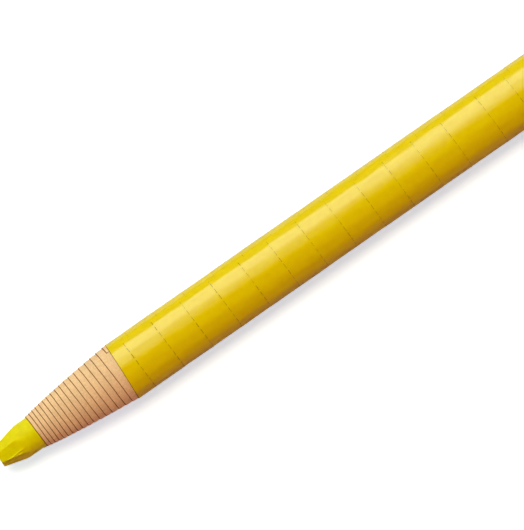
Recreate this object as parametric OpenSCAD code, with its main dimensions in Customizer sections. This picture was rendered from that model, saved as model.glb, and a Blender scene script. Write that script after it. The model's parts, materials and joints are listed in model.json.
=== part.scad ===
// Peel-off china marker: a wax core in a tightly rolled paper sheet, dressed with a glued label.
// The sheet is cut on a slant, so once rolled its front edge climbs away from the core as a
// helical staircase. Rows of slits, parallel to that slanted edge, divide the roll into bands.
// A band slit by the pull string unwinds, and the next staircase shows behind it.
// The marker lies along X with its tip towards -X, on the plane Z = 0, centred in X.

/* [Whole marker] */
// Length from the tip to the butt end
marker_len = 171.5; // [168:0.5:190]

/* [Wax core] */
// Diameter of the core
core_d = 4.8; // [4:0.1:5.6]
// Width across the flat end of the whittled tip
tip_d = 2.88; // [2:0.02:3.6]
// Angle of the whittled facets to the axis, in degrees
facet_angle = 13.5; // [12:0.5:20]
// Bare core in front of the paper
bare_len = 5.86; // [5:0.02:12]

/* [Pull string] */
// Diameter of the string
string_d = 0.4; // [0.2:0.05:0.6]
// Where the string lies round the core, in degrees from the underside
string_angle = 266; // [0:1:359]
// How far the string stops short of the butt end
string_short = 12; // [4:1:20]

/* [Rolled paper] */
// Thickness of the paper
paper_t = 0.1; // [0.09:0.005:0.12]
// Turns of paper round the core
turns = 17.6; // [14:0.1:19]
// Slant of the sheet's front edge at the core, in degrees
slant_angle_core = 1.93; // [1.4:0.01:2.3]
// Slant of the sheet's front edge at the last turn, in degrees
slant_angle_out = 2.468; // [1.7:0.002:2.9]
// Where the sheet ends, in degrees round the barrel from the underside
seam_angle = 129.6; // [45:0.1:135]

/* [Label] */
// Thickness of the printed label
label_t = 0.05; // [0.03:0.01:0.12]
// From the tip to the label's front edge, on the axis
label_start = 20.48; // [20.35:0.01:21.5]
// How far the label's front edge leans back on one side and forward on the other
label_lean = 0.17; // [0:0.01:0.4]
// Where it leans back, in degrees round the barrel from the underside
label_lean_angle = 95; // [0:1:359]
// Opening between the label's two ends, along the seam
label_gap = 0.1; // [0.06:0.02:0.3]

/* [Slit rows] */
// From the tip to the first row, on the upper side
first_row = 22.98; // [22.5:0.1:28]
// Distance from row to row
row_pitch = 4.79; // [4:0.1:7]
// Number of rows punched in one stroke of the tool
gang_count = 12; // [4:1:16]
// Distance between the last row of one stroke and the first of the next
gang_pitch = 5.93; // [4:0.1:9]
// Number of rows
row_count = 27; // [3:1:27]
// Width of the cut that a row makes in the label
row_cut = 0.05; // [0.02:0.01:0.1]

/* [Clearances] */
// Between the core and the paper
core_slip = 0.03; // [0.02:0.01:0.06]
// Between the paper and the label
paste_t = 0.01; // [0.01:0.005:0.05]
// Between the staircases of neighbouring bands, along the axis
nest_gap = 0.12; // [0.08:0.02:0.3]
// Round the string in its groove
string_slip = 0.02; // [0.01:0.01:0.05]

/* [Hidden] */
// Chords in one turn, and steps along a cut from the rim to the core
chords = 32;
cut_steps = 8;
slant_core = tan(slant_angle_core);
slant_out = tan(slant_angle_out);
core_r = core_d / 2;
bore_r = core_r + core_slip;
string_r = string_d / 2;
last = round(turns * chords);
outer = last - chords;
start_angle = seam_angle - last * 360 / chords;
paper_r = layer_r(last);
label_in = paper_r + paste_t;
barrel_r = label_in + label_t;
// The flats of the rolled sheet lie this far inside its corners
flat = cos(180 / chords);
inner_r = paper_r * flat;
seam_turn = label_gap / barrel_r * 180 / PI;
// The rows are given where they cross the upper side, half a turn from the underside
upper = outer + (180 - seam_angle) / 360 * chords;
upper_edge = edge_z(upper);
cutter_over = 0.3;
cutter_len = 4;
groove_r = string_r + string_slip;
string_at = core_r - string_r;
string_front = edge_z(0);
// Whittled facets: turn round the axis, depth beyond the flat end's half width, change of slope
facets = [
    [90, -0.03, 0], [137, 0, 0], [187, 0.02, 0], [214, 0.34, -3.4],
    [243, -0.08, 0.5], [292, -0.1, 0.5], [340, -0.02, 0], [392, 0.01, 0]
];
wax = [0.93, 0.86, 0.02];
kraft = [0.93, 0.72, 0.5];
print_yellow = [0.93, 0.8, 0.08];
cotton = [0.93, 0.91, 0.85];

function two(k) = k < 10 ? str("0", k) : str(k);
function band_name(k) = k == 1 ? "nose_band" : k > row_count ? "rear_band" : str("band_", two(k));
function label_name(k) = k == 1 ? "nose_label" : k > row_count ? "rear_label" : str("label_", two(k));

// The sheet is a spiral, measured in chords wound since its first edge.
function angle_at(i) = start_angle + i * 360 / chords;
function layer_r(i) = bore_r + paper_t * (1 + i / chords);
// Sheet length wound up to chord i: circumference at the core, growing with the paper
function wound(i) = let(w = 2 * PI * i / chords) (bore_r + paper_t / 2) * w + paper_t * w * w / (4 * PI);
// The slanted front edge: its slope goes evenly from one end's value to the other's
function edge_z(i) = let(s = wound(i))
    bare_len + slant_core * s + (slant_out - slant_core) / wound(last) * s * s / 2;
// Where the edge of the layer whose outside is at radius r lies
function edge_at_r(r) = edge_z(max(0, chords * ((r - bore_r) / paper_t - 1)));
// A row's place on the upper side, and how far it lies behind the front edge
function row_z(k) = first_row + (k - 1) * row_pitch + floor((k - 1) / gang_count) * (gang_pitch - row_pitch);
function row_shift(k) = k == 0 ? 0 : row_z(k) - upper_edge;
function at(r, angle, z) = [r * cos(angle), r * sin(angle), z];
function quad(a, b, c, d) = [[a, b, c], [a, c, d]];

// Lays the marker down: built upright with the tip at the origin, turned onto its side
module lay() {
    translate([-marker_len / 2, 0, barrel_r]) rotate([0, 90, 0]) children();
}

// One whittled facet: everything outside a sloping plane
module facet_cut(turn, depth, slope) {
    size = 3 * core_d;
    rotate([0, 0, turn]) translate([tip_d / 2 + depth, 0, 0])
        rotate([0, slope, 0]) translate([0, -size, -size]) cube([2 * size, 2 * size, 3 * size]);
}

module wax_core() {
    color(wax) lay() difference() {
        cylinder(h = marker_len, r = core_r, $fn = 96);
        for (f = facets) facet_cut(f[0], f[1], facet_angle + f[2]);
        rotate([0, 0, string_angle]) translate([string_at, 0, string_front - string_slip]) {
            groove_len = marker_len - string_short - string_front + 2 * string_slip;
            cylinder(h = groove_len, r = groove_r, $fn = 32);
            translate([0, -groove_r, 0]) cube([2 * groove_r, 2 * groove_r, groove_len]);
        }
    }
}

module pull_string() {
    color(cotton) lay() rotate([0, 0, string_angle]) translate([string_at, 0, string_front])
        cylinder(h = marker_len - string_short - string_front, r = string_r, $fn = 32);
}

// A band whose front is the open end of the roll. Each turn ends a little behind the one
// inside it, so the front is one long helical stair: a riser, which is the paper's cut edge,
// and a tread, which is the strip of its face left bare by the next turn.
module stepped_band(front, rear) {
    n = last + 1;
    spread = layer_r(outer) - bore_r;
    inside = [for (i = [0 : last])
        at(i < chords ? bore_r : layer_r(i - chords), angle_at(i), edge_z(i) + front)];
    outside = [for (i = [0 : last]) at(layer_r(i), angle_at(i), edge_z(i) + front)];
    rim = [for (i = [outer + 1 : last]) at(layer_r(i), angle_at(i), edge_at_r(layer_r(i)) + rear)];
    cut = [for (j = [0 : cut_steps]) for (m = [0 : chords - 1])
        let(r = bore_r + spread * (1 - j / cut_steps)) at(r, angle_at(outer + m), edge_at_r(r) + rear)];
    foot = at(bore_r, start_angle, edge_z(chords) + front);
    // Places of the points: A inside, B outside, C rear rim, R rows of the rear cut, F foot
    A = 0;
    B = n;
    C = 2 * n - 1;
    R = 2 * n + chords;
    F = R + (cut_steps + 1) * chords;
    R0 = R;
    function r_at(j, m) = R + j * chords + m % chords;
    // Bore columns are counted from the sheet's start, the rear cut's from its end
    function bore_at(i) = r_at(cut_steps, (i - outer % chords + chords) % chords);
    faces = [
        for (i = [0 : last - 1]) if (i != chords - 1) each quad(A + i, B + i, B + i + 1, A + i + 1),
        [A + chords - 1, B + chords - 1, B + chords],
        [A + chords - 1, B + chords, A + chords],
        [A + chords - 1, A + chords, F],
        for (i = [0 : outer - 1]) each quad(B + i, A + i + chords, A + i + chords + 1, B + i + 1),
        [B + outer + 1, B + outer, A + last],
        [B + outer + 1, A + last, R0],
        [B + outer + 1, R0, C + 1],
        for (m = [1 : chords - 1]) each quad(B + outer + m, C + m, C + m + 1, B + outer + m + 1),
        [R0, R0 + 1, C + 1],
        for (m = [1 : chords - 1]) each quad(C + m, r_at(0, m), r_at(0, m + 1), C + m + 1),
        for (j = [0 : cut_steps - 1]) for (m = [0 : chords - 1])
            each quad(r_at(j, m), r_at(j + 1, m), r_at(j + 1, m + 1), r_at(j, m + 1)),
        for (i = [1 : chords - 2]) each quad(A + i + 1, bore_at(i + 1), bore_at(i), A + i),
        each quad(F, bore_at(0), bore_at(chords - 1), A + chords - 1),
        [A + 1, bore_at(1), bore_at(0)],
        [A + 1, bore_at(0), F],
        [A + 1, F, A],
        each quad(A, F, A + chords, B),
        each quad(B + last, C + chords, R0, A + last)
    ];
    polyhedron(points = concat(inside, outside, rim, cut, [foot]), faces = faces);
}

// A plain band further back, with its neighbours' staircases as smooth cones
module nested_band(front, rear, to_butt) {
    radii = [for (j = [0 : cut_steps]) bore_r + (inner_r - bore_r) * j / cut_steps];
    front_cut = [for (r = radii) [r, edge_at_r(r / flat) + front]];
    rear_cut = [for (r = radii) [r, to_butt ? marker_len : edge_at_r(r) + rear]];
    back = to_butt
        ? [[inner_r, marker_len], [bore_r, marker_len]]
        : [for (j = [cut_steps : -1 : 0]) rear_cut[j]];
    rotate_extrude($fn = 96) polygon(concat(front_cut, back));
}

// A strip of sheet wrapped once round the roll from the seam, with ends that follow the rows
module wrapped_strip(inner, outer_r, front_line, rear_line) {
    function column(m) = angle_at(outer + m) - (m == chords ? seam_turn : 0);
    points = [for (m = [0 : chords]) each [
        at(inner, column(m), front_line[m]),
        at(outer_r, column(m), front_line[m]),
        at(outer_r, column(m), rear_line[m]),
        at(inner, column(m), rear_line[m])
    ]];
    sides = [for (m = [0 : chords - 1]) for (c = [0 : 3]) let(a = 4 * m, d = (c + 1) % 4)
        each quad(a + c, a + d, a + 4 + d, a + 4 + c)];
    end = 4 * chords;
    ends = concat(quad(0, 3, 2, 1), quad(end, end + 1, end + 2, end + 3));
    polyhedron(points = points, faces = concat(sides, ends));
}

// Heights along one wrap, from the seam round to the seam, parallel to the slanted edge
function row_line(shift) = [for (m = [0 : chords]) edge_z(outer + m) + shift];
// The label's front edge was trimmed square but for a slight lean
function label_front_line() =
    [for (m = [0 : chords]) label_start + label_lean * cos(angle_at(outer + m) - label_lean_angle)];

module paper_band(k) {
    front = row_shift(k - 1);
    rear = row_shift(k) - nest_gap;
    color(kraft) lay()
        if (k <= 2) stepped_band(front, rear);
        else nested_band(front, rear, k > row_count);
}

module label_strip(k) {
    front = k == 1 ? label_front_line() : row_line(row_shift(k - 1) + row_cut / 2);
    rear = row_line(row_shift(k) - row_cut / 2);
    color(print_yellow) lay() wrapped_strip(label_in, barrel_r, front, rear);
}

// The last strip is plain to the butt. Its outside is where a holder or a cap grips.
module rear_label() {
    shift = row_shift(row_count) + row_cut / 2;
    from = edge_z(outer) + shift;
    color(print_yellow) lay() difference() {
        translate([0, 0, from]) cylinder(h = marker_len - from, r = barrel_r, $fn = 96);
        translate([0, 0, from - 1]) cylinder(h = marker_len - from + 2, r = label_in, $fn = 96);
        wrapped_strip(label_in - cutter_over, barrel_r + cutter_over,
            row_line(shift - cutter_len), row_line(shift));
        rotate([0, 0, seam_angle - seam_turn / 2])
            translate([label_in - cutter_over, -label_gap * 0.6, from - 1])
            cube([label_t + 2 * cutter_over, label_gap * 1.2, marker_len - from + 2]);
    }
}

wax_core();
pull_string();
for (k = [1 : row_count + 1]) {
    paper_band(k);
    if (k <= row_count) label_strip(k);
}
rear_label();
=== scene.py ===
"""Looks of a peel-off china marker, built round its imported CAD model."""

import json

import bpy
import numpy as np
from mathutils import Matrix, Vector

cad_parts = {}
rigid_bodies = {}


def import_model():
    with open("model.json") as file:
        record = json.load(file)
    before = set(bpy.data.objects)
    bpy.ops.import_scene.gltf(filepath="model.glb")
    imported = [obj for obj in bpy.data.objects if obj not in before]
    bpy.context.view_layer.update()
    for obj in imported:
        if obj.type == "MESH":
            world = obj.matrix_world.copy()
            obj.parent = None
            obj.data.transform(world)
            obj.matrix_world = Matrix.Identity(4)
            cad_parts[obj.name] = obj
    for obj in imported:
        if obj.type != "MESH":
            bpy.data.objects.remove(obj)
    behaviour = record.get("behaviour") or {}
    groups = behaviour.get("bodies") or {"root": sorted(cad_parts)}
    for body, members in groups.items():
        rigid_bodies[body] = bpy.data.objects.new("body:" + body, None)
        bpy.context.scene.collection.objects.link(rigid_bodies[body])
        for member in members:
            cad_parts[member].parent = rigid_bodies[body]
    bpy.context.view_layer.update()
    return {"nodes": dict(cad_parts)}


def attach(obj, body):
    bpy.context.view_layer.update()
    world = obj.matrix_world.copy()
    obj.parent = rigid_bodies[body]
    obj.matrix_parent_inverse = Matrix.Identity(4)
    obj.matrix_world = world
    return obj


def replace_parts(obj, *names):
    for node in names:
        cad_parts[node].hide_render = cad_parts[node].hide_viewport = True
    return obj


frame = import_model()

# ---------------------------------------------------------------------------
# Camera: a long lens high above the marker, which lies across the picture with its tip at
# the lower left. The view leans two degrees to the tip, so the front faces just show.

MM = 0.001
PIXEL = 0.13668 * MM
PICTURE_HEIGHT = 530
CAMERA_AWAY = 1.1
CAMERA_LEAN = np.radians(2.0)
MARKER_SLOPE = np.radians(34.83)
LOOK_AT = np.array([-41.19, 1.043, 4.35]) * MM
SENSOR = 24

towards_camera = np.array([-np.sin(CAMERA_LEAN), 0, np.cos(CAMERA_LEAN)])
along_marker = np.array([np.cos(CAMERA_LEAN), 0, np.sin(CAMERA_LEAN)])
across_marker = np.array([0.0, 1.0, 0.0])
right = np.cos(MARKER_SLOPE) * along_marker - np.sin(MARKER_SLOPE) * across_marker
up = np.sin(MARKER_SLOPE) * along_marker + np.cos(MARKER_SLOPE) * across_marker
stand = np.eye(4)
stand[:3, 0], stand[:3, 1], stand[:3, 2] = right, up, towards_camera
stand[:3, 3] = LOOK_AT + CAMERA_AWAY * towards_camera
lens_data = bpy.data.cameras.new("long_lens")
lens_data.sensor_width = SENSOR
lens_data.lens = SENSOR * CAMERA_AWAY / (PICTURE_HEIGHT * PIXEL)
camera = bpy.data.objects.new("long_lens", lens_data)
camera.matrix_world = Matrix(stand.tolist())
bpy.context.scene.collection.objects.link(camera)
bpy.context.scene.camera = camera
bpy.context.scene.view_settings.view_transform = "Standard"

# ---------------------------------------------------------------------------
# Wax core: a 4.8 mm stick of yellow pigmented wax, extruded, then whittled with a knife to a
# blunt tip with eight flat facets. It lies loose in the paper, with a groove for the string.

# Sizes in mm, and turns round the axis in degrees from the underside towards the far side
LENGTH = 171.5
BARREL_R = 4.349375
CORE_R = 2.4
TIP_HALF = 1.44
FACET_ANGLE = 13.5
# Each facet's turn, its depth beyond the tip's half width, and the change of its angle
FACETS = np.array([
    [90, -0.03, 0], [137, 0, 0], [187, 0.02, 0], [214, 0.34, -3.4],
    [243, -0.08, 0.5], [292, -0.1, 0.5], [340, -0.02, 0], [392, 0.01, 0],
])
# The facets meet in a p-mean of this power, and their ridges carry a burr, given by height and width
SHARPNESS = 90
BURR, BURR_WIDTH = 0.02, 0.03
# Planing marks: slow waves along each facet, their height, length and radians from facet to facet
PLANING, PLANING_LENGTH, PLANING_STEP = 0.006, 1.3, 2.4
# Two curls that the knife's last strokes raised, each from (along, across) to (along, across), on
# the upper near side, with a furrow two widths beside each
CURLS = ((0.2, 1.07, 3.5, 0.94), (1.25, 1.02, 3.3, 1.39))
CURL, CURL_WIDTH, CURL_RISE, CURL_FALL = 0.1, 0.09, 0.15, 0.5
CURL_SIDE, CURL_REACH = 215, 40
FURROW, FURROW_ASIDE = 0.8, 2
# The string's groove, wider than the string by its slip, begins just before the string's end
STRING_R = 0.2
STRING_ANGLE = 266
STRING_FRONT = 5.86
STRING_BACK = LENGTH - 12
STRING_SLIP = 0.02
GROOVE_AHEAD, GROOVE_RAMP = 0.06, 0.08
# A facet ends where the cosine of the turn from it is this small, and is then outside everything
LEAST_FACING = 0.2
FAR_OFF = 40.0


def linear(code):
    """Linear colour of an sRGB hex code: c/12.92 up to 0.04045, and ((c+0.055)/1.055)^2.4 above it."""
    c = np.array([int(code[i:i + 2], 16) for i in (0, 2, 4)]) / 255
    return (*np.where(c <= 0.04045, c / 12.92, ((c + 0.055) / 1.055) ** 2.4), 1.0)


def add(tree, kind, settings={}, links={}):
    """Adds a node. A lower-case setting is the node's own, and the others and the links are sockets'."""
    node = tree.nodes.new("ShaderNode" + kind)
    for name, value in settings.items():
        if isinstance(name, str) and name.islower():
            setattr(node, name, value)
        else:
            node.inputs[name].default_value = value
    for name, socket in links.items():
        tree.links.new(socket, node.inputs[name])
    return node


def finish_named(name):
    """A new material's node tree, emptied, and its surface socket."""
    material = bpy.data.materials.new(name)
    material.use_nodes = True
    tree = material.node_tree
    tree.nodes.clear()
    return material, tree, tree.nodes.new("ShaderNodeOutputMaterial").inputs["Surface"]


def on_marker(radius, turn, along):
    """Points in mm: x = along - half the length, y = r sin(turn), z = barrel radius - r cos(turn)."""
    radius, turn, along = np.broadcast_arrays(radius, np.radians(turn), along)
    return np.stack([along - LENGTH / 2, radius * np.sin(turn), BARREL_R - radius * np.cos(turn)], axis=-1)


def grid_quads(rows, columns, wrap_rows, wrap_columns):
    """Corners of a point grid's faces: along the columns first, which turns the faces outwards."""
    i = np.arange(rows if wrap_rows else rows - 1)[:, None]
    j = np.arange(columns if wrap_columns else columns - 1)[None, :]
    i2, j2 = (i + 1) % rows, (j + 1) % columns
    near, next_near, next_far, far = i * columns + j, i * columns + j2, i2 * columns + j2, i2 * columns + j
    return np.stack(np.broadcast_arrays(near, next_near, next_far, far), axis=-1).reshape(-1, 4)


def new_piece(name, points, quads, triangles=np.zeros((0, 3), int), finishes=(), finish=0, crease=40):
    """An object of points in mm and faces by their corners, crisp where sharper than crease degrees.

    finishes are its materials, and finish says which one each face has."""
    mesh = bpy.data.meshes.new(name)
    corners = np.concatenate([quads.ravel(), triangles.ravel()])
    sides = np.concatenate([np.full(len(quads), 4), np.full(len(triangles), 3)])
    mesh.vertices.add(len(points))
    mesh.vertices.foreach_set("co", (points * MM).ravel())
    mesh.loops.add(len(corners))
    mesh.loops.foreach_set("vertex_index", corners)
    mesh.polygons.add(len(sides))
    mesh.polygons.foreach_set("loop_start", np.cumsum(sides) - sides)
    mesh.update(calc_edges=True)
    mesh.polygons.foreach_set("use_smooth", np.ones(len(sides), bool))
    mesh.set_sharp_from_angle(angle=np.radians(crease))
    for material in finishes:
        mesh.materials.append(material)
    mesh.polygons.foreach_set("material_index", np.broadcast_to(finish, len(sides)).astype(np.int32))
    thing = bpy.data.objects.new(name, mesh)
    bpy.context.scene.collection.objects.link(thing)
    return thing


def closed_rod(name, rings, poles, crease):
    """A rod of rings of points, closed by a fan of triangles from each end ring to its pole."""
    rows, columns = rings.shape[:2]
    first, last = np.arange(columns), (rows - 1) * columns + np.arange(columns)
    fans = np.vstack([
        np.stack([np.full(columns, rows * columns), np.roll(first, -1), first], axis=1),
        np.stack([last, np.roll(last, -1), np.full(columns, rows * columns + 1)], axis=1),
    ])
    return new_piece(name, np.vstack([rings.reshape(-1, 3), poles]),
                     grid_quads(rows, columns, False, True), fans, crease=crease)


def core_radius(turn, along):
    """The least of the core's radius, the facets' (half width + depth + along tan(angle)) / cos(turn from
    the facet) and, in the groove, c cos(d) - sqrt(g^2 - c^2 sin^2 d). The facets meet in a p-mean, and a
    burr exp(-(gap / width)^2) stands on their ridges. Each curl adds exp(-a^2), with a the distance from
    its line in widths, and its furrow takes a share of the same bell away beside it."""
    facing = np.cos(np.radians(turn[..., None] - FACETS[:, 0]))
    slope = np.tan(np.radians(FACET_ANGLE + FACETS[:, 2]))
    reach = TIP_HALF + FACETS[:, 1] + along[..., None] * slope
    planed = 2 * np.pi * along[..., None] / PLANING_LENGTH + PLANING_STEP * np.arange(len(FACETS))
    reach = reach + PLANING * np.sin(planed)
    flats = np.where(facing > LEAST_FACING, reach / np.maximum(facing, LEAST_FACING), FAR_OFF)
    nearest = np.sort(flats, axis=-1)
    both = np.concatenate([flats, np.full(flats.shape[:-1] + (1,), CORE_R)], axis=-1)
    radius = CORE_R * np.sum((both / CORE_R) ** -SHARPNESS, axis=-1) ** (-1 / SHARPNESS)
    burr = np.exp(-((nearest[..., 1] - nearest[..., 0]) / BURR_WIDTH) ** 2)
    radius = radius + BURR * burr * (nearest[..., 1] < CORE_R - BURR_WIDTH)
    for start, start_y, end, end_y in CURLS:
        line = start_y + (end_y - start_y) * (along - start) / (end - start)
        ends = np.clip((along - start) / CURL_RISE, 0, 1) * np.clip((end - along) / CURL_FALL, 0, 1)
        aside = (-radius * np.sin(np.radians(turn)) - line) / CURL_WIDTH
        raised = np.exp(-aside ** 2) - FURROW * np.exp(-(aside - FURROW_ASIDE) ** 2)
        radius = radius + CURL * ends * raised * (np.abs(turn - CURL_SIDE) < CURL_REACH)
    groove_r, centre = STRING_R + STRING_SLIP, CORE_R - STRING_R
    aside = np.radians((turn - STRING_ANGLE + 180) % 360 - 180)
    inside = groove_r ** 2 - (centre * np.sin(aside)) ** 2
    bed = np.where(inside > 0, centre * np.cos(aside) - np.sqrt(np.maximum(inside, 0)), FAR_OFF)
    cut_in = np.clip((along - STRING_FRONT + GROOVE_AHEAD) / GROOVE_RAMP, 0, 1) * (along < STRING_BACK)
    return np.where(np.abs(aside) < 1, radius + (np.minimum(radius, bed) - radius) * cut_in, radius)


# Rings of points: over the flat tip and its rounded rim, close together on the whittled part, wide
# apart on the plain rod, and over the butt end and its worn rim
TURNS = np.arange(0, 360, 0.9)
RIM, BUTT_RIM = 0.1, 0.05
WHITTLED_FROM, WHITTLED_TO, WHITTLED_STEP = 0.15, 8.2, 0.07
PLAIN_FROM, PLAIN_TO, PLAIN_RINGS = 9, LENGTH - 0.2, 40
TIP_SHARES, BUTT_SHARE = (0.3, 0.6, 0.85), 0.5
rim_arc = np.radians(np.linspace(0, 90, 6))
rim_along, rim_inset = RIM * (1 - np.cos(rim_arc)), RIM * (1 - np.sin(rim_arc))
side_along = np.concatenate([np.arange(WHITTLED_FROM, WHITTLED_TO, WHITTLED_STEP),
                             np.linspace(PLAIN_FROM, PLAIN_TO, PLAIN_RINGS)])
tip_rows = [core_radius(TURNS, np.zeros_like(TURNS)) * share for share in TIP_SHARES]
tip_rows += [core_radius(TURNS, np.full_like(TURNS, a)) - inset for a, inset in zip(rim_along, rim_inset)]
side_rows = core_radius(*np.broadcast_arrays(TURNS[None, :], side_along[:, None]))
end_radius = core_radius(TURNS, np.full_like(TURNS, PLAIN_TO))
core_r = np.vstack([tip_rows, side_rows, [end_radius, end_radius - BUTT_RIM, end_radius * BUTT_SHARE]])
core_along = np.concatenate([np.zeros(len(TIP_SHARES)), rim_along, side_along,
                             [LENGTH - BUTT_RIM, LENGTH, LENGTH]])
core = closed_rod("whittled_wax_core", on_marker(core_r, TURNS[None, :], core_along[:, None]),
                  on_marker(np.zeros(2), 0, np.array([0, LENGTH])), crease=60)

# Pigmented wax: soft and a little translucent, satin where the knife slid, with fine drag lines
wax, tree, surface = finish_named("knife_cut_yellow_wax")
place = add(tree, "TexCoord").outputs["Object"]
# Drag lines of the blade 0.2 mm apart, drawn out along the axis, and a bloom mottled every 0.7 mm
stretched = add(tree, "Mapping", {"Scale": (120, 1000, 1000)}, {"Vector": place})
drag = add(tree, "TexNoise", {"Scale": 5.0, "Detail": 3.0}, {"Vector": stretched.outputs[0]})
bloom = add(tree, "TexNoise", {"Scale": 1400.0, "Detail": 4.0}, {"Vector": place})
tone = add(tree, "ValToRGB", {}, {"Fac": bloom.outputs["Fac"]})
tone.color_ramp.elements[0].position, tone.color_ramp.elements[1].position = 0.35, 0.65
tone.color_ramp.elements[0].color = linear("E2D200")
tone.color_ramp.elements[1].color = linear("EADC00")
marks = add(tree, "Bump", {"Strength": 0.35, "Distance": 0.00003}, {"Height": drag.outputs["Fac"]})
grain = add(tree, "Bump", {"Strength": 0.3, "Distance": 0.00001},
            {"Height": bloom.outputs["Fac"], "Normal": marks.outputs[0]})
shader = add(tree, "BsdfPrincipled", {"Roughness": 0.42, "IOR": 1.44, "Specular IOR Level": 0.14,
                                      "Subsurface Weight": 0.12, "Subsurface Scale": 0.0004},
             {"Base Color": tone.outputs["Color"], "Normal": grain.outputs[0]})
tree.links.new(shader.outputs[0], surface)
core.data.materials.append(wax)
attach(core, "marker")
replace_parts(core, "wax_core")

# ---------------------------------------------------------------------------
# Pull string: an undyed cotton string, three plies twisted, laid in the core's groove before
# the paper is rolled over it. Its cut end lies at the first edge of the paper.

PLIES, PLY_TWIST = 3, 1.2
RINGS, POINTS_ROUND = 1800, 24
# Shares of the string's radius between the plies and out to their backs, and at the cut end
VALLEY, PLY_RISE, CUT_END = 0.74, 0.25, 0.9
string_along = np.linspace(STRING_FRONT, STRING_BACK, RINGS)
ply_turns = np.linspace(0, 2 * np.pi, POINTS_ROUND, endpoint=False)
# The string's radius has a lobe for each ply, |cos(plies angle / 2)|, and the lobes turn along it
twist = ply_turns[None, :] - 2 * np.pi * string_along[:, None] / PLY_TWIST
string_r = STRING_R * (VALLEY + PLY_RISE * np.abs(np.cos(PLIES / 2 * twist)))
string_r[0] *= CUT_END
middle = on_marker(CORE_R - STRING_R, STRING_ANGLE, string_along)[:, None, :]
across = np.stack([np.zeros_like(ply_turns), np.cos(ply_turns), np.sin(ply_turns)], axis=1)
string = closed_rod("cotton_pull_string", middle + string_r[..., None] * across,
                    np.vstack([middle[0], middle[-1]]), crease=70)

# Undyed cotton: matt and slightly fuzzy. Its fibres are drawn 0.08 mm across, coarse enough to show
cotton, tree, surface = finish_named("undyed_twisted_cotton")
place = add(tree, "TexCoord").outputs["Object"]
fibres = add(tree, "TexNoise", {"Scale": 12000.0, "Detail": 3.0}, {"Vector": place})
tone = add(tree, "ValToRGB", {}, {"Fac": fibres.outputs["Fac"]})
tone.color_ramp.elements[0].color = linear("D8CFB9")
tone.color_ramp.elements[1].color = linear("F4EFE2")
nap = add(tree, "Bump", {"Strength": 0.5, "Distance": 0.00002}, {"Height": fibres.outputs["Fac"]})
shader = add(tree, "BsdfPrincipled", {"Roughness": 0.9, "Sheen Weight": 0.3},
             {"Base Color": tone.outputs["Color"], "Normal": nap.outputs[0]})
tree.links.new(shader.outputs[0], surface)
string.data.materials.append(cotton)
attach(string, "marker")
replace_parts(string, "pull_string")

# ---------------------------------------------------------------------------
# Kraft paper: one sheet 0.1 mm thick, cut on a slant, pasted and rolled 17.6 times round the
# core, so its front edge is a long helical stair. Rows of slits divide it into bands.

PAPER = 0.1
PAPER_TURNS = 563 / 32
CORE_SLIP = 0.03
BORE_R = CORE_R + CORE_SLIP
# The sheet's outer end lies at this turn, and its front edge starts behind so much bare core
SEAM = 129.6
BARE = 5.86
SLANT_CORE, SLANT_OUT = np.tan(np.radians([1.93, 2.468]))
# The first row on the upper side, the step from row to row, and the wider step after each twelve
FIRST_ROW, ROW_PITCH, GANG, GANG_PITCH, ROWS = 22.98, 4.79, 12, 5.93, 27


def sheet_wound(turns):
    """Sheet length in mm in so many turns: (bore + t/2) w + t w^2 / (4 pi), with w = 2 pi turns."""
    w = 2 * np.pi * turns
    return (BORE_R + PAPER / 2) * w + PAPER * w ** 2 / (4 * np.pi)


def slanted_edge(turns):
    """Place of the sheet's front edge: its slope changes evenly from the core's to the last turn's."""
    s = sheet_wound(turns)
    return BARE + SLANT_CORE * s + (SLANT_OUT - SLANT_CORE) / sheet_wound(PAPER_TURNS) * s ** 2 / 2


def row_at(k):
    """Place of slit row k on the upper side: rows are punched in gangs, a wider step apart. It is the
    first row's, and a pitch for each row since, longer by the difference for each gang since."""
    return FIRST_ROW + (k - 1) * ROW_PITCH + (k - 1) // GANG * (GANG_PITCH - ROW_PITCH)


# Turns of paper under the barrel's upper side
UPPER_TURNS = PAPER_TURNS - 1 + (180 - SEAM) / 360


def row_shift(k):
    """How far row k lies behind the sheet's front edge."""
    return 0.0 if k == 0 else row_at(k) - slanted_edge(UPPER_TURNS)


def walled_strip(name, outer, inner, skin, edge, end, crease):
    """A strip along a path: outer and inner are points (profile, path), joined by walls all round.
    The skin's, the two long edges' and the two ends' materials are given in that order."""
    profile, path = outer.shape[:2]
    points = np.concatenate([outer, inner[::-1]]).reshape(-1, 3)
    quads = grid_quads(2 * profile, path, True, False)
    row = np.repeat(np.arange(2 * profile), path - 1)
    j = np.arange(profile - 1)
    o, o2, i, i2 = j, j + 1, 2 * profile - 1 - j, 2 * profile - 2 - j
    starts = np.stack([o, o2, i2, i], axis=1) * path
    ends = np.stack([o, i, i2, o2], axis=1) * path + path - 1
    on_edge = (row == profile - 1) | (row == 2 * profile - 1)
    finish = np.concatenate([np.where(on_edge, 1, 0), np.full(2 * len(j), 2)])
    return new_piece(name, points, np.vstack([quads, starts, ends]),
                     finishes=(skin, edge, end), finish=finish, crease=crease)


# The front cut is a little oblique, as a blade leaves it on thick paper, so it shows from above,
# and each band's rear cut lies clear of the next band
CUT_LEAN, REAR_LEAN = 0.11, 0.02
REAR_GAP = 0.1
# The cut's unevenness: height, length and phase of each sine, in mm and radians
RAGGED = ((0.012, 1.9, 0), (0.009, 0.83, 1), (0.006, 0.41, 2))
# A turn of paper lies this thick, a hair clear of the next, and its edge lifts by a few microns
LAID, MOST_LAID = 0.093, 0.097
LIFT, LIFT_LENGTH, LIFT_DEPTH = 0.004, 1.3, 0.3
STEPS_BACK = np.array([0, 0.06, 0.2, 0.45, 0.9, 1.6])
REAR_STEP = 0.3


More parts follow.
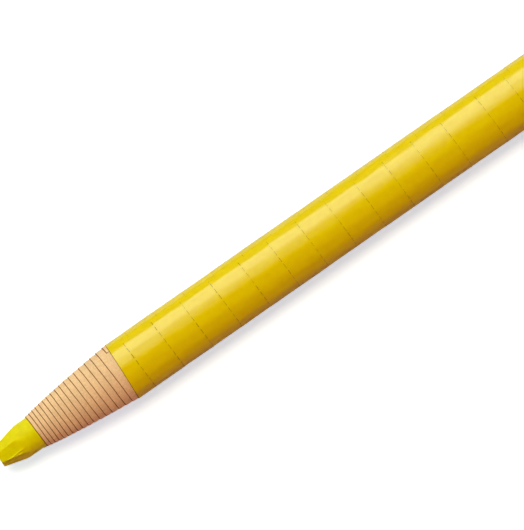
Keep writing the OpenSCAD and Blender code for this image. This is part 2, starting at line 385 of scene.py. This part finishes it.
def rolled_band(name, k, body, steps_a_turn):
    """Band k of the rolled sheet: radius bore + t turns, turn seam - 360 (all turns - turns), from row
    k - 1 to row k or the butt end. The front edge is uneven by a sum of sines along the sheet."""
    turns = np.linspace(0, PAPER_TURNS, int(PAPER_TURNS * steps_a_turn))
    s = sheet_wound(turns)
    edge = slanted_edge(turns)
    front = edge + row_shift(k - 1) + sum(high * np.sin(s / long + phase) for high, long, phase in RAGGED)
    rear = np.full_like(edge, LENGTH) if k > ROWS else edge + row_shift(k) - REAR_GAP
    along = np.vstack([front + step for step in STEPS_BACK] + [rear - REAR_STEP, rear])
    inner_r = BORE_R + PAPER * turns
    lift = LIFT * np.sin(s / LIFT_LENGTH) * np.exp(-STEPS_BACK / LIFT_DEPTH)[:, None]
    outer_r = np.vstack([np.minimum(inner_r + LAID + lift, inner_r + MOST_LAID),
                         np.tile(inner_r + LAID, (2, 1))])
    turn = SEAM + 360 * (turns - PAPER_TURNS)
    outer_along = along.copy()
    outer_along[:-2] += CUT_LEAN
    if k <= ROWS:
        outer_along[-1] -= REAR_LEAN
    band = walled_strip(name, on_marker(outer_r, turn, outer_along), on_marker(inner_r, turn, along),
                        kraft, pasted_and_shaded_kraft_edge, pasted_and_shaded_kraft_edge, crease=30)
    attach(band, body)
    return band


# Kraft paper: unbleached fibres in a tight tan felt, matt, with darker specks
kraft, tree, surface = finish_named("rolled_kraft_paper")
place = add(tree, "TexCoord").outputs["Object"]
# Clots of fibre 0.25 mm across, specks 0.1 mm, and slow clouds 3 mm wide
clots = add(tree, "TexNoise", {"Scale": 4000.0, "Detail": 2.0, "Roughness": 0.6}, {"Vector": place})
specks = add(tree, "TexNoise", {"Scale": 9000.0, "Detail": 1.0}, {"Vector": place})
clouds = add(tree, "TexNoise", {"Scale": 350.0, "Detail": 2.0}, {"Vector": place})
felt = add(tree, "ValToRGB", {}, {"Fac": clots.outputs["Fac"]})
felt.color_ramp.elements[0].position, felt.color_ramp.elements[1].position = 0.3, 0.7
felt.color_ramp.elements[0].color = linear("E9BC87")
felt.color_ramp.elements[1].color = linear("FAD3A2")
dark = add(tree, "MapRange", {"From Min": 0.6, "From Max": 0.75, "To Min": 0.0, "To Max": 0.35},
           {"Value": specks.outputs["Fac"]})
# Inputs 0, 6 and 7 of a colour mix are its share and its two colours, and output 2 is the colour
speckled = add(tree, "Mix", {"data_type": "RGBA", 7: linear("B98752")},
               {0: dark.outputs[0], 6: felt.outputs["Color"]})
cloudy = add(tree, "MapRange", {"From Min": 0.35, "From Max": 0.65, "To Min": 0.94, "To Max": 1.03},
             {"Value": clouds.outputs["Fac"]})
shaded = add(tree, "VectorMath", {"operation": "SCALE"},
             {0: speckled.outputs[2], "Scale": cloudy.outputs[0]})
weave = add(tree, "Bump", {"Strength": 0.35, "Distance": 0.00002}, {"Height": clots.outputs["Fac"]})
shader = add(tree, "BsdfPrincipled", {"Roughness": 0.8, "Specular IOR Level": 0.25},
             {"Base Color": shaded.outputs[0], "Normal": weave.outputs[0]})
tree.links.new(shader.outputs[0], surface)

# The sheet's cut edge: torn fibre ends every 0.3 mm, dull and dark brown where paste has soaked in, and
# darker still with painted shade that stands for the shadow under each step of the stair
pasted_and_shaded_kraft_edge, tree, surface = finish_named("pasted_kraft_edge_with_painted_shade")
place = add(tree, "TexCoord").outputs["Object"]
fray = add(tree, "TexNoise", {"Scale": 3000.0, "Detail": 3.0}, {"Vector": place})
soaked_and_shaded = add(tree, "ValToRGB", {}, {"Fac": fray.outputs["Fac"]})
soaked_and_shaded.color_ramp.elements[0].position, soaked_and_shaded.color_ramp.elements[1].position = 0.35, 0.65
soaked_and_shaded.color_ramp.elements[0].color = linear("7A3A08")
soaked_and_shaded.color_ramp.elements[1].color = linear("985014")
torn = add(tree, "Bump", {"Strength": 0.5, "Distance": 0.00002}, {"Height": fray.outputs["Fac"]})
shader = add(tree, "BsdfPrincipled", {"Roughness": 0.9, "Specular IOR Level": 0.05},
             {"Base Color": soaked_and_shaded.outputs["Color"], "Normal": torn.outputs[0]})
tree.links.new(shader.outputs[0], surface)

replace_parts(rolled_band("rolled_nose_band", 1, "nose", 120), "nose_band")
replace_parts(rolled_band("rolled_band_02", 2, "marker", 120), "band_02")
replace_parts(rolled_band("rolled_rear_band", ROWS + 1, "marker", 90), "rear_band")
# The bands that the label hides keep their CAD shape. Their faces across the axis are cut edges, pasted and
# with painted shade
ACROSS = 0.7
for k in range(3, ROWS + 1):
    hidden = frame["nodes"][f"band_{k:02d}"].data
    hidden.materials.clear()
    hidden.materials.append(kraft)
    hidden.materials.append(pasted_and_shaded_kraft_edge)
    normals = np.zeros(3 * len(hidden.polygons))
    hidden.polygons.foreach_get("normal", normals)
    hidden.polygons.foreach_set("material_index", (np.abs(normals[::3]) > ACROSS).astype(np.int32))

# ---------------------------------------------------------------------------
# Label: yellow printed paper under a clear gloss varnish, glued once round the roll from seam
# to seam, then slit with it. The needle-like blades leave dashes with small raised lips.

# The label's thickness and the least that a wave leaves of it, and the lean of its front edge
LABEL, LEAST_LABEL = 0.05, 0.012
LABEL_START, LABEL_LEAN, LABEL_LEAN_ANGLE = 20.48, 0.17, 95
FRONT_LEAN = 0.07
# The seam stays open by this many degrees, and a strip has this many points from end to end
SEAM_GAP, POINTS_TO_SEAM = 0.03, 720
# The slits lie 1.09 mm apart round the barrel, 0.77 mm long, over the gap between the paper bands
SLITS, SLIT_SHARE, SLIT_BLUR = 25, 0.7, 0.06
SLIT_BACK, SLIT_OPEN, STRIP_GAP = 0.05, 0.07, 0.001
LIP, LIP_WIDTH = 0.024, 0.11
# The bridges between slits are turned by so many radians from row to row
BRIDGE_TURN, BRIDGE_START = 1.7, 0.6
# How far each slit gapes: the mean share, and each wave's share, number in a row and radians a row
GAPE, GAPE_WAVES = 0.7, ((0.2, 4, 2.3), (0.1, 11, -1.1))
# Later rows gape less, by this share over so many rows, as does each row in the turn's last degrees
LATER_LESS, LATER_ROWS = 0.3, 6
SEAM_LESS, SEAM_AFTER, SEAM_FADE = 0.65, 300, 20
# Waves in the wrapped label: height in mm, number round the barrel, radians a strip, radians a mm
LABEL_WAVES = ((0.006, 5, 0, 1 / 2.3), (0.012, 12, 3.7, 1 / 4), (0.005, 19, -5.1, -1 / 3))
WAVES_BELOW, OUTERMOST = 0.026, BARREL_R - 0.0005
# How much of the rolled sheet's climb under the label shows, in mm a turn
CLIMB = 0.1 * PAPER
# Rows of points beside each edge in mm, and between them as shares of the rest
LIP_STEPS = np.array([0, 0.02, 0.05, 0.09, 0.14, 0.2, 0.3])
PLAIN_SHARES = (0.25, 0.5, 0.75)


def slit_mask(turn, k):
    """1 in a slit of row k that gapes most and 0 on a bridge: a smoothed square wave, 1 / (1 + exp(-(cos -
    level) / blur)), times the share by which the slit gapes."""
    t = np.radians(turn)
    gape = GAPE + sum(share * np.sin(waves * t + shift * k) for share, waves, shift in GAPE_WAVES)
    gape = gape * (1 - LATER_LESS * min((k - 1) / LATER_ROWS, 1))
    gape = gape * (1 - SEAM_LESS * np.clip((turn - SEAM - SEAM_AFTER) / SEAM_FADE, 0, 1))
    wave = np.cos(SLITS * t + BRIDGE_TURN * k + BRIDGE_START)
    return gape / (1 + np.exp(-(wave - np.cos(np.pi * SLIT_SHARE)) / SLIT_BLUR))


def barrel_waves(turn, along, k):
    """Unevenness of the wrapped label in mm: a sum of sines of the turn, the strip and the place."""
    t = np.radians(turn)
    return sum(high * np.sin(waves * t + strip * k + slope * along)
               for high, waves, strip, slope in LABEL_WAVES) - WAVES_BELOW


def label_strip(name, k, body):
    """Strip k of the label, once round from seam to seam between its two rows. Its radius is the barrel's
    plus waves, and a lip exp(-(distance / width)^2) along each slit."""
    turn = np.linspace(SEAM, SEAM + 360 - SEAM_GAP, POINTS_TO_SEAM)
    line = slanted_edge(PAPER_TURNS - 1 + (turn - SEAM) / 360) - SLIT_BACK
    open_front = slit_mask(turn, k - 1) if k > 1 else np.zeros_like(turn)
    open_rear = slit_mask(turn, k) if k <= ROWS else np.zeros_like(turn)
    if k > 1:
        front = line + row_shift(k - 1) + STRIP_GAP + SLIT_OPEN / 2 * open_front
    else:
        front = LABEL_START + FRONT_LEAN + LABEL_LEAN * np.cos(np.radians(turn - LABEL_LEAN_ANGLE))
    if k <= ROWS:
        rear = line + row_shift(k) - STRIP_GAP - SLIT_OPEN / 2 * open_rear
    else:
        rear = np.full_like(turn, LENGTH)
    plain = rear - front - 2 * LIP_STEPS[-1]
    along = np.vstack([front + step for step in LIP_STEPS]
                      + [front + LIP_STEPS[-1] + plain * share for share in PLAIN_SHARES]
                      + [rear - step for step in LIP_STEPS[::-1]])
    lips = (LIP * open_front * np.exp(-((along - front) / LIP_WIDTH) ** 2)
            + LIP * open_rear * np.exp(-((along - rear) / LIP_WIDTH) ** 2))
    climb = CLIMB * ((turn - SEAM) / 360 - 1)
    radius = np.minimum(BARREL_R + climb + lips + barrel_waves(turn, along, k), OUTERMOST)
    inside = np.minimum(radius - LEAST_LABEL, BARREL_R - LABEL)
    # The slits' walls, dark with painted shade, meet below, and so show from above, and so does the wall of
    # the front edge
    inner_along = along.copy()
    inner_along[0] -= FRONT_LEAN if k == 1 else SLIT_OPEN / 2 * open_front
    inner_along[-1] += SLIT_OPEN / 2 * open_rear
    strip = walled_strip(name, on_marker(radius, turn, along), on_marker(inside, turn, inner_along),
                         print_gloss, slit_painted_shade, print_gloss, crease=50)
    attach(strip, body)
    return strip


# Yellow offset print under clear varnish: a deep even yellow behind a smooth film, faintly
# mottled every 0.8 mm
print_gloss, tree, surface = finish_named("varnished_yellow_print")
place = add(tree, "TexCoord").outputs["Object"]
mottle = add(tree, "TexNoise", {"Scale": 1200.0, "Detail": 3.0}, {"Vector": place})
ink = add(tree, "ValToRGB", {}, {"Fac": mottle.outputs["Fac"]})
ink.color_ramp.elements[0].position, ink.color_ramp.elements[1].position = 0.3, 0.7
ink.color_ramp.elements[0].color = linear("EDCB00")
ink.color_ramp.elements[1].color = linear("F0D202")
# Orange peel of the varnish: hollows 0.7 mm wide
peel = add(tree, "TexNoise", {"Scale": 1500.0, "Detail": 1.0}, {"Vector": place})
dimples = add(tree, "Bump", {"Strength": 0.25, "Distance": 0.00002}, {"Height": peel.outputs["Fac"]})
shader = add(tree, "BsdfPrincipled", {"Roughness": 0.6, "Specular IOR Level": 0.0, "Coat Weight": 1.0,
                                      "Coat Roughness": 0.17, "Coat IOR": 1.57},
             {"Base Color": ink.outputs["Color"], "Coat Normal": dimples.outputs[0]})
tree.links.new(shader.outputs[0], surface)

# The label's slit edges: matt paper, painted dark brown as shade in the narrow slits and at the front edge,
# darker and lighter in spots of 0.4 mm
slit_painted_shade, tree, surface = finish_named("slit_label_edge_painted_shade")
place = add(tree, "TexCoord").outputs["Object"]
shade_mottle = add(tree, "TexNoise", {"Scale": 2500.0, "Detail": 2.0}, {"Vector": place})
tone = add(tree, "ValToRGB", {}, {"Fac": shade_mottle.outputs["Fac"]})
tone.color_ramp.elements[0].color = linear("5C3C03")
tone.color_ramp.elements[1].color = linear("7C5606")
shader = add(tree, "BsdfPrincipled", {"Roughness": 0.9, "Specular IOR Level": 0.1},
             {"Base Color": tone.outputs["Color"]})
tree.links.new(shader.outputs[0], surface)

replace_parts(label_strip("nose_label_strip", 1, "nose"), "nose_label")
for k in range(2, ROWS + 1):
    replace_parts(label_strip(f"label_strip_{k:02d}", k, "marker"), f"label_{k:02d}")
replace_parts(label_strip("rear_label_strip", ROWS + 1, "marker"), "rear_label")

# ---------------------------------------------------------------------------
# Studio: a white table under the marker, a tall soft box on its far side, a silk above it and a
# weak red reflector on its near side. Glowing sheets round it, seen only in the gloss, paint dark
# reflections that keep the white room out of the varnish.

# Half the table's side in m, and its top, which lies a hair below the marker
TABLE_HALF = 2
TABLE_BELOW = 0.02 * MM
# Where it is seen, the table glows a little, to the cool white of the photograph
TABLE_GLOW, TABLE_TINT = 0.6, (0.965, 1.02, 1.11, 1)


def seen_directly(tree):
    """1 for camera, glossy and transmission rays, which show the white of the table and the room."""
    paths = add(tree, "LightPath")
    seen = add(tree, "Math", {"operation": "MAXIMUM"},
               {0: paths.outputs["Is Camera Ray"], 1: paths.outputs["Is Glossy Ray"]})
    return add(tree, "Math", {"operation": "MAXIMUM"},
               {0: seen.outputs[0], 1: paths.outputs["Is Transmission Ray"]}).outputs[0]


table_mesh = bpy.data.meshes.new("white_table")
corners = [(x * TABLE_HALF, y * TABLE_HALF, 0) for x, y in ((-1, -1), (1, -1), (1, 1), (-1, 1))]
table_mesh.from_pydata(corners, [], [(0, 1, 2, 3)])
table = bpy.data.objects.new("white_table", table_mesh)
table.location.z = -TABLE_BELOW
bpy.context.scene.collection.objects.link(table)
# Matt white board: painted card, plain and clean, which takes the marker's soft shadow
board, tree, surface = finish_named("matt_white_board")
glow = add(tree, "Math", {"operation": "MULTIPLY", 1: TABLE_GLOW}, {0: seen_directly(tree)})
white = add(tree, "Emission", {"Color": TABLE_TINT}, {"Strength": glow.outputs[0]})
matt = add(tree, "BsdfDiffuse", {"Color": linear("F2F2F2")})
both = add(tree, "AddShader", {}, {0: matt.outputs[0], 1: white.outputs[0]})
tree.links.new(both.outputs[0], surface)
table_mesh.materials.append(board)

# The pale room: hardly any light comes from it, but it is white where it is seen
world = bpy.data.worlds.new("pale_room")
bpy.context.scene.world = world
world.use_nodes = True
tree = world.node_tree
tree.nodes.clear()
room = add(tree, "Background", {"Color": (1, 0.97, 0.94, 1), "Strength": 0.01})
backdrop = add(tree, "Background", {"Color": (1, 1, 1, 1), "Strength": 1.0})
mixed = add(tree, "MixShader", {}, {0: seen_directly(tree), 1: room.outputs[0], 2: backdrop.outputs[0]})
tree.links.new(mixed.outputs[0], add(tree, "OutputWorld").inputs["Surface"])


def soft_light(name, width, height, centre, radiance, colour, in_gloss):
    """A rectangular lamp, sizes in m, that faces the marker: watts = pi x area x radiance. The one that
    the gloss shows stands upright."""
    lamp = bpy.data.lights.new(name, "AREA")
    lamp.shape, lamp.size, lamp.size_y = "RECTANGLE", width, height
    lamp.energy = np.pi * width * height * radiance
    lamp.color = colour
    holder = bpy.data.objects.new(name, lamp)
    holder.location = centre
    away = Vector(centre) - Vector((centre[0], 0, centre[2] if in_gloss else 0))
    holder.rotation_euler = away.to_track_quat("Z", "Y").to_euler()
    holder.visible_glossy = in_gloss
    bpy.context.scene.collection.objects.link(holder)
    return holder


soft_light("far_softbox", width=0.4, height=1.35, centre=(-0.04, 0.5, 0.695),
           radiance=1.92, colour=(0.79, 1, 1.1), in_gloss=True)
soft_light("key_silk", width=0.7, height=0.36, centre=(-0.04, 0.316, 0.945),
           radiance=9.3, colour=(1, 0.92, 0.75), in_gloss=False)
reflector = soft_light("warm_reflector", width=0.8, height=0.4, centre=(-0.04, -0.6, 0.25),
                       radiance=0.9, colour=(1, 0.06, 0.03), in_gloss=False)
# The reflector is aimed at the marker and spares the table
lit_warm = bpy.data.collections.new("lit_by_reflector")
for thing in bpy.context.scene.objects:
    if thing.type == "MESH" and thing is not table:
        lit_warm.objects.link(thing)
reflector.light_linking.receiver_collection = lit_warm

# Painted reflections: glowing sheets that only the gloss sees. They stand for a dark tent, black felt over
# the top that fades out on both sides, an upright wall on the near side and a low one on the far side,
# where the soft box looks in above it, and for cards on the table, the near one a painted shade of the
# table beside the marker.
# Sizes are in mm, and angles from upright towards the far side.
PAINTED_TENT_R = 23.3
PAINTED_TENT_HALF = 400
PAINTED_TENT_TOP = np.radians(np.linspace(-90, 40, 40))
PAINTED_TENT_LOW = np.radians(np.linspace(64, 90, 7))
FADE_FROM, FADE_TO = 19.2, 22.9
WALL_HEIGHT, WALL_LEAN = 100.0, 0.1
GREY_FROM, GREY_TO = 4.6, 13.5
NEAR_SHADE_TO = -1.0
# Colours that the painted reflections glow with: near black felt, a grey card, and a dark grey for the
# painted shade of the table beside the marker
REFLECTED_BLACK, REFLECTED_GREY, REFLECTED_SHADE = "121212", "C4C4C4", "585858"
ON_TABLE = np.array([0.05, 0.05])


def painted_reflection_sheet(name, y, z, code, clear_below=None, felt_above=None):
    """A glowing sheet along the marker through the points (y, z) in mm, seen only in the gloss: a painted
    reflection.
    With the last two given, it fades from clear below the one height to solid above the other."""
    ends = np.array([-PAINTED_TENT_HALF, PAINTED_TENT_HALF])[None, :]
    points = np.stack(np.broadcast_arrays(ends, y[:, None], z[:, None]), axis=-1)
    felt, tree, surface = finish_named(name)
    shader = add(tree, "Emission", {"Color": linear(code)})
    if clear_below is not None:
        height = add(tree, "SeparateXYZ", {}, {0: add(tree, "TexCoord").outputs["Object"]})
        fade = add(tree, "MapRange", {"From Min": clear_below * MM, "From Max": felt_above * MM},
                   {"Value": height.outputs["Z"]})
        clear = add(tree, "BsdfTransparent")
        shader = add(tree, "MixShader", {}, {0: fade.outputs[0], 1: clear.outputs[0], 2: shader.outputs[0]})
    tree.links.new(shader.outputs[0], surface)
    reflection_sheet = new_piece(name, points.reshape(-1, 3), grid_quads(len(y), 2, False, False), finishes=(felt,))
    reflection_sheet.visible_camera = reflection_sheet.visible_diffuse = reflection_sheet.visible_shadow = reflection_sheet.visible_transmission = False


painted_reflection_sheet("painted_reflection_top", PAINTED_TENT_R * np.sin(PAINTED_TENT_TOP), PAINTED_TENT_R * np.cos(PAINTED_TENT_TOP), REFLECTED_BLACK, FADE_FROM, FADE_TO)
painted_reflection_sheet("painted_reflection_near_wall", np.array([-PAINTED_TENT_R, -PAINTED_TENT_R - WALL_LEAN]), np.array([0, WALL_HEIGHT]), REFLECTED_BLACK)
painted_reflection_sheet("painted_reflection_far_wall", PAINTED_TENT_R * np.sin(PAINTED_TENT_LOW), PAINTED_TENT_R * np.cos(PAINTED_TENT_LOW), REFLECTED_BLACK)
painted_reflection_sheet("far_painted_reflection", np.array([GREY_TO, PAINTED_TENT_R]), ON_TABLE, REFLECTED_BLACK)
painted_reflection_sheet("far_grey_painted_reflection", np.array([GREY_FROM, GREY_TO]), ON_TABLE, REFLECTED_GREY)
painted_reflection_sheet("near_painted_reflection_shade", np.array([-PAINTED_TENT_R, NEAR_SHADE_TO]), ON_TABLE, REFLECTED_SHADE)
